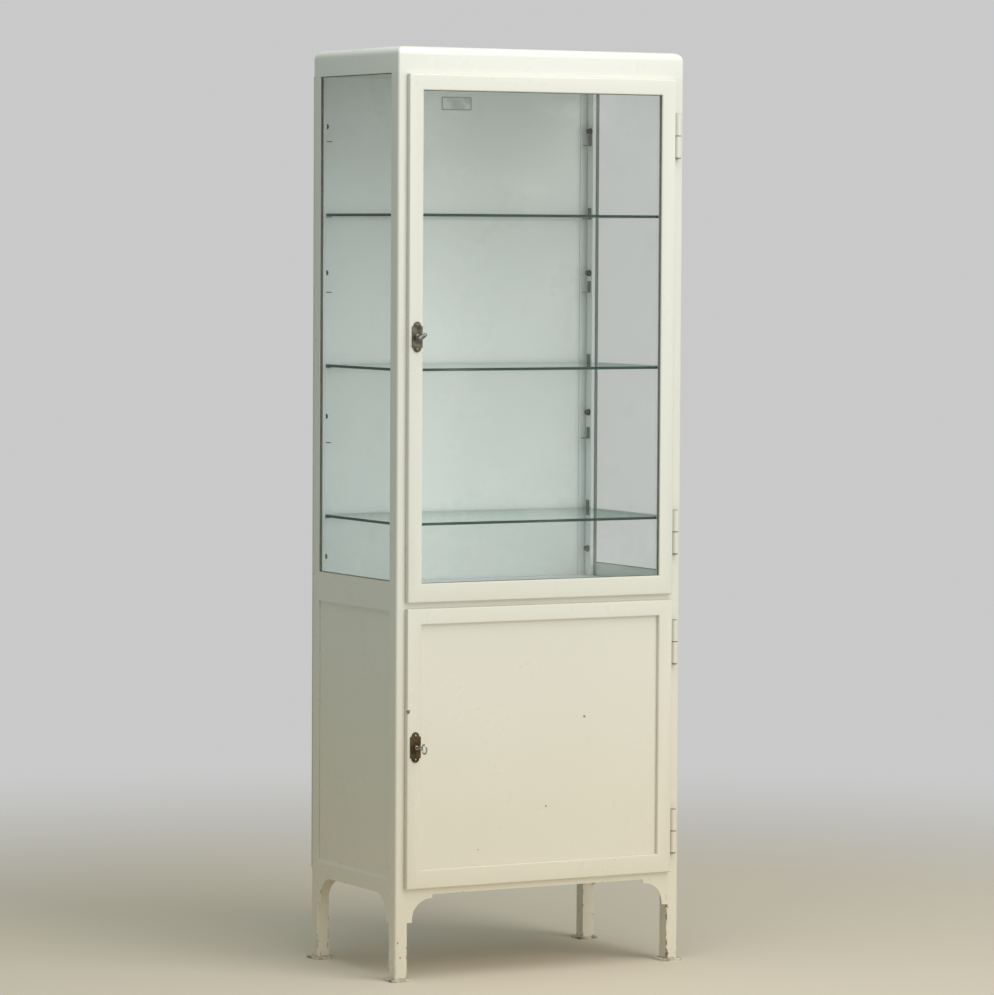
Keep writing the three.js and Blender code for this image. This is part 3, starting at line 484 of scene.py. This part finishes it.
def dark_seal_and_shade():
    """Old glazing compound: matt, dusty and cracked, and dark also as painted shade in the rebates."""
    g = Graph("dark_seal_and_shade")
    place = g.place()
    dust = g.span(g.noise(place, scale=70.0, detail=5.0, roughness=0.7), (0.4, 0.75), (0.0, 0.7))
    cracks = g.noise(place, scale=380.0, detail=4.0, roughness=0.7)
    g.set(Base_Color=g.blend(dust, colour(0.16, 0.16, 0.12), colour(0.30, 0.29, 0.23)), Roughness=MATT)
    g.set(Normal=g.bump(cracks, strength=0.5, distance=0.3 * MM))
    return g.material


def backdrop_floor():
    """Pale floor round the cabinet that fades into the backdrop."""
    g = Graph("pale_floor")
    fading = (FLOOR_RADIUS * FLOOR_SOLID, FLOOR_RADIUS)
    share = g.span(g.length(g.place()), fading, (1.0, 0.0))
    g.set(Base_Color=FLOOR_COLOUR, Roughness=0.75, Specular_IOR_Level=0.2)
    away = g.node("ShaderNodeBsdfTransparent").outputs[0]
    g.show(g.mix(share, away, g.shader.outputs[0]))
    return g.material


# Meshes made from rings of points


def mesh_object(name, build, material):
    """An object with the mesh that build fills in."""
    shape = bmesh.new()
    build(shape)
    bmesh.ops.recalc_face_normals(shape, faces=shape.faces)
    data = bpy.data.meshes.new(name)
    shape.to_mesh(data)
    shape.free()
    data.materials.append(material)
    made = bpy.data.objects.new(name, data)
    bpy.context.scene.collection.objects.link(made)
    return made


def skin(shape, rings, loop=False):
    """Faces between successive rings; open ends are closed by one face each."""
    made = [[shape.verts.new(point) for point in ring] for ring in rings]
    count = len(made[0])
    pairs = list(zip(made, made[1:])) + ([(made[-1], made[0])] if loop else [])
    for a, b in pairs:
        for i in range(count):
            j = (i + 1) % count
            shape.faces.new((a[i], a[j], b[j], b[i]))
    if not loop:
        shape.faces.new(made[0][::-1])
        shape.faces.new(made[-1])


def arc(place, radius, height, angles):
    """Points at these angles round the +Z axis of a place."""
    return [place @ Vector((radius * math.cos(a), radius * math.sin(a), height)) for a in angles]


def turned(place, profile, sides=20):
    """Rings of a round form, from a profile of (radius, height)."""
    angles = [2 * math.pi * i / sides for i in range(sides)]
    return [arc(place, radius, height, angles) for radius, height in profile]


def rounded_rectangle(width, height, corner, steps=5):
    """Outline of a plate as (across, up), centred on zero."""
    points = []
    for turn, (u, v) in enumerate(((1, 1), (-1, 1), (-1, -1), (1, -1))):
        for i in range(steps + 1):
            angle = math.pi / 2 * (turn + i / steps)
            across = u * (width / 2 - corner) + corner * math.cos(angle)
            up = v * (height / 2 - corner) + corner * math.sin(angle)
            points.append((across, up))
    return points


def dome(radius, height, steps=4):
    """Profile of a low domed head, from its base to its crown."""
    angles = [math.pi / 2 * i / steps for i in range(steps)]
    return [(radius * math.cos(a), height * math.sin(a)) for a in angles] + [(radius * CROWN_SHARE, height)]


def facing(axis, at):
    """A place whose +Z points along axis."""
    return Matrix.Translation(at) @ axis.to_track_quat("Z", "Y").to_matrix().to_4x4()


# Fittings


def slotted_head(shape, place):
    """Two half-round lands on a disc over a washer, with the driver's slot between them."""
    slot_floor = SCREW_STAND * SLOT_FLOOR_SHARE
    edge = SCREW_HEAD * SCREW_EDGE_SHARE
    rounded_from = WASHER_SHEET * WASHER_ROUND_SHARE
    skin(shape, turned(place, [(WASHER, 0.0), (WASHER, rounded_from), (WASHER - edge, WASHER_SHEET)]))
    skin(shape, turned(place, [(SCREW_HEAD, WASHER_SHEET), (SCREW_HEAD, WASHER_SHEET + slot_floor)]))
    half_slot = math.asin(SLOT_HALF_SHARE)
    land = math.pi - 2 * half_slot
    profile = (
        (SCREW_HEAD, slot_floor),
        (SCREW_HEAD, SCREW_STAND * SCREW_ROUND_SHARE),
        (SCREW_HEAD - edge, SCREW_STAND),
    )
    for start in (half_slot, math.pi + half_slot):
        angles = [start + land * i / LAND_STEPS for i in range(LAND_STEPS + 1)]
        skin(shape, [arc(place, radius, WASHER_SHEET + height, angles) for radius, height in profile])


def strip_screws(end, side, material):
    """Screws that clamp a shelf strip to its post."""
    lowest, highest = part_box(f"shelf_strip_{end}_{side}")
    middle = (lowest.y + highest.y) / 2
    sign = 1 if side == "right" else -1
    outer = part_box(f"post_{end}_{side}")
    face = sign * (max(abs(outer[0].x), abs(outer[1].x)) - STRIP_INSET)

    def build(shape):
        for height, turn in zip(SCREW_HEIGHTS, SCREW_TURNS):
            place = facing(Vector((-sign, 0, 0)), Vector((face, middle, height)))
            slotted_head(shape, place @ Matrix.Rotation(turn + middle, 4, "Z"))

    made = mesh_object(f"strip_screws_{end}_{side}", build, material)
    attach(made, "carcass")


def plate_pins(plate, body, material):
    """Domed pins at the top and bottom of an escutcheon."""
    lowest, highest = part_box(plate)
    middle = (lowest.x + highest.x) / 2

    def build(shape):
        for height in (lowest.z + PIN_INSET, highest.z - PIN_INSET):
            place = facing(Vector((0, -1, 0)), Vector((middle, lowest.y, height)))
            skin(shape, turned(place, dome(PIN_HEAD, PIN_STAND), sides=16))

    made = mesh_object(f"{plate}_pins", build, material)
    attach(made, body)


def bare_label(material):
    """Small blank metal plate with a raised rim, riveted to the back panel inside the case."""
    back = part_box("back_panel")[0].y
    middle_x, middle_z = LABEL_MIDDLE

    def build(shape):
        rings = []
        for inset, stand in LABEL_RIM:
            width, height = (size - 2 * inset for size in LABEL_SIZE)
            outline = rounded_rectangle(width, height, LABEL_CORNER)
            rings.append([Vector((middle_x + u, back - stand, middle_z + v)) for u, v in outline])
        skin(shape, rings)
        for u in (-1, 1):
            across = middle_x + u * (LABEL_SIZE[0] / 2 - RIVET_INSET)
            at = Vector((across, back - RIVET_FOOT, middle_z))
            skin(shape, turned(facing(Vector((0, -1, 0)), at), dome(RIVET_HEAD, RIVET_STAND), sides=12))

    made = mesh_object("bare_label", build, material)
    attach(made, "carcass")


def glazing_seal(name, body, edges, width, depth, spot, material):
    """Bead of glazing compound round an opening, dark also as painted shade in the rebate; spot turns
    (across, out, up) into a point.
    """
    (low, high), (sill, head) = edges
    corners = ((low, sill, 1, 1), (low, head, 1, -1), (high, head, -1, -1), (high, sill, -1, 1))

    def build(shape):
        rings = []
        for across, up, u, v in corners:
            steps = [(inwards * width, out * depth) for inwards, out in SEAL_SECTION]
            rings.append([spot(across + u * step, out, up + v * step) for step, out in steps])
        skin(shape, rings, loop=True)

    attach(mesh_object(name, build, material), body)


def door_seal(material):
    """Between the upper door's frame and the front of its pane."""
    lowest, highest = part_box("upper_door_frame")
    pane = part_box("upper_door_glass")[0].y
    edges = ((lowest.x + STILE, highest.x - STILE), (lowest.z + BOTTOM_RAIL, highest.z - STILE))

    def spot(across, out, up):
        return Vector((across, pane - out, up))

    glazing_seal("door_seal", "upper_door", edges, SEAL_WIDTH, SEAL_DEPTH, spot, material)


def side_seal(side, material):
    """In the rebate outside a side pane."""
    end, outwards = (0, -1) if side == "left" else (1, 1)
    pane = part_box(f"side_glass_{side}")[end].x
    posts = (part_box(f"post_front_{side}")[1].y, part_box(f"post_rear_{side}")[0].y)
    edges = (posts, (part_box(f"side_rail_{side}")[1].z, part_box("top_cap")[0].z))

    def spot(across, out, up):
        return Vector((pane + outwards * out, across, up))

    glazing_seal(f"side_seal_{side}", "carcass", edges, SIDE_SEAL, SIDE_SEAL, spot, material)


def side_sill(side, material):
    """Filled and painted slope where a side panel runs down behind its apron."""
    end = 0 if side == "left" else 1
    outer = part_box(f"apron_{side}")[end].x
    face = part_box(f"side_panel_{side}")[end].x
    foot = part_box(f"apron_{side}")[1].z
    span = (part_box(f"post_front_{side}")[1].y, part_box(f"post_rear_{side}")[0].y)
    slope = ((outer, foot), (face, foot + SILL_RISE), (face, foot))

    def build(shape):
        skin(shape, [[Vector((x, y, z)) for x, z in slope] for y in span])

    made = mesh_object(f"side_sill_{side}", build, material)
    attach(made, "carcass")


# CAD nodes: smooth bends with sharp edges kept, and a material for each


def smooth_by_angle():
    """Geometry nodes that shade bends smooth and keep sharp edges sharp."""
    tree = bpy.data.node_groups.new("smooth_bends", "GeometryNodeTree")
    tree.interface.new_socket("Geometry", in_out="INPUT", socket_type="NodeSocketGeometry")
    tree.interface.new_socket("Geometry", in_out="OUTPUT", socket_type="NodeSocketGeometry")
    start = tree.nodes.new("NodeGroupInput")
    end = tree.nodes.new("NodeGroupOutput")
    merge = tree.nodes.new("GeometryNodeMergeByDistance")
    merge.inputs["Distance"].default_value = MERGED_WITHIN
    angle = tree.nodes.new("GeometryNodeInputMeshEdgeAngle")
    sharp = tree.nodes.new("FunctionNodeCompare")
    sharp.operation = "GREATER_THAN"
    sharp.inputs[1].default_value = SHARP_ANGLE
    faces = tree.nodes.new("GeometryNodeSetShadeSmooth")
    faces.domain = "FACE"
    faces.inputs["Shade Smooth"].default_value = True
    edges = tree.nodes.new("GeometryNodeSetShadeSmooth")
    edges.domain = "EDGE"
    edges.inputs["Shade Smooth"].default_value = False
    link = tree.links.new
    link(start.outputs[0], merge.inputs["Geometry"])
    link(merge.outputs["Geometry"], faces.inputs["Geometry"])
    link(faces.outputs["Geometry"], edges.inputs["Geometry"])
    link(angle.outputs["Unsigned Angle"], sharp.inputs[0])
    link(sharp.outputs["Result"], edges.inputs["Selection"])
    link(edges.outputs["Geometry"], end.inputs[0])
    return tree


def dress(names, material, smooth):
    """Give CAD nodes their material and smooth bends."""
    for name in names:
        node = NODES[name]
        node.data.materials.clear()
        node.data.materials.append(material)
        node.modifiers.new("smooth_bends", "NODES").node_group = smooth


# Scene


def add_camera():
    """The photo's camera."""
    data = bpy.data.cameras.new("camera")
    data.angle = CAMERA_ANGLE
    data.clip_end = CAMERA_REACH
    made = bpy.data.objects.new("camera", data)
    made.matrix_world = (
        Matrix.Translation(CAMERA_PLACE)
        @ Matrix.Rotation(-CAMERA_TURN, 4, "Z")
        @ Matrix.Rotation(math.pi / 2 + CAMERA_PITCH, 4, "X")
        @ Matrix.Rotation(CAMERA_ROLL, 4, "Z")
    )
    bpy.context.scene.collection.objects.link(made)
    bpy.context.scene.camera = made


def add_lamp(name, towards, distance, size, power, tint):
    """A soft square lamp that looks at the lit point."""
    data = bpy.data.lights.new(name, "AREA")
    data.size = size
    data.energy = power
    data.color = tint
    made = bpy.data.objects.new(name, data)
    towards = Vector(towards).normalized()
    made.matrix_world = facing(towards, LIT_POINT + towards * distance)
    bpy.context.scene.collection.objects.link(made)


def add_world():
    """Even light from all round, with a grey backdrop for the camera."""
    world = bpy.data.worlds.new("studio")
    world.use_nodes = True
    bpy.context.scene.world = world
    nodes, links = world.node_tree.nodes, world.node_tree.links
    light = nodes["Background"]
    light.inputs["Color"].default_value = AMBIENT_COLOUR
    light.inputs["Strength"].default_value = AMBIENT
    shown = nodes.new("ShaderNodeBackground")
    shown.inputs["Color"].default_value = BACKDROP
    path = nodes.new("ShaderNodeLightPath")
    choice = nodes.new("ShaderNodeMixShader")
    links.new(path.outputs["Is Camera Ray"], choice.inputs[0])
    links.new(light.outputs[0], choice.inputs[1])
    links.new(shown.outputs[0], choice.inputs[2])
    links.new(choice.outputs[0], nodes["World Output"].inputs["Surface"])


def add_floor():
    """A round floor under the cabinet."""

    def build(shape):
        bmesh.ops.create_circle(shape, cap_ends=True, segments=FLOOR_SIDES, radius=FLOOR_RADIUS)

    mesh_object("floor", build, backdrop_floor())


# CAD nodes by what they are made of
SIDES = ("left", "right")
CORNERS = [(end, side) for end in ("front", "rear") for side in SIDES]
STRIPS = [f"shelf_strip_{end}_{side}" for end, side in CORNERS]
SHELVES = ["glass_shelf_1", "glass_shelf_2", "glass_shelf_3"]
CLEAN_PANES = ["upper_door_glass", "side_glass_right"]
# The left pane gets the darker tint, which is painted shade
SHADED_PANES = ["side_glass_left"]
PINS = [f"hinge_{i}_pin" for i in range(1, 5)]
LATCH = ["upper_spindle_bush", "upper_latch_cam", "upper_latch_nut"]
STEEL = PINS + LATCH + ["lower_lock_case", "lower_lock_bolt"]
LOWER_DOOR = ["lower_door_frame", "lower_door_panel"]
KNUCKLES = [name for name in NODES if name.endswith("knuckle")]

metals = {name: worn_metal(name, *finish) for name, finish in METALS.items()}
cream = painted("cream_paint", knocks=LEG_KNOCKS, lined=True)
looks = [
    (KNUCKLES, painted("hinge_paint", rubbed=True)),
    # The cap takes the lighter copy of the cream, which is painted light
    (["top_cap"], painted("lit_cap_paint", LIT_CAP_CREAM)),
    (LOWER_DOOR, painted("knocked_paint", knocks=DOOR_KNOCKS)),
    (STRIPS, strip_paint()),
    (CLEAN_PANES, clean_pane()),
    (SHADED_PANES, shaded_pane()),
    (SHELVES, shelf_glass()),
    (STEEL, metals["plain_steel"]),
    (["upper_handle"], metals["worn_grip"]),
    (["lower_key"], metals["nickel_plate"]),
    (["upper_escutcheon"], metals["aged_bronze"]),
    (["lower_escutcheon"], metals["rusty_bronze"]),
]
named = [name for names, _ in looks for name in names]
looks.append(([name for name in NODES if name not in named], cream))
smooth = smooth_by_angle()
for names, material in looks:
    dress(names, material, smooth)

for end, side in CORNERS:
    strip_screws(end, side, metals["blackened_steel"])
plate_pins("upper_escutcheon", "upper_door", metals["brass_pins"])
plate_pins("lower_escutcheon", "lower_door", metals["brass_pins"])
bare_label(label_metal())
# Dark beads in the rebates: glazing compound and painted shade
putty_and_shade = dark_seal_and_shade()
door_seal(putty_and_shade)
for side in SIDES:
    side_seal(side, putty_and_shade)
    side_sill(side, cream)

add_floor()
add_world()
for name, lamp in LAMPS.items():
    add_lamp(name, **lamp)
add_camera()
bpy.context.scene.view_settings.view_transform = "Standard"
bpy.context.scene.cycles.transparent_max_bounces = GLASS_BOUNCES
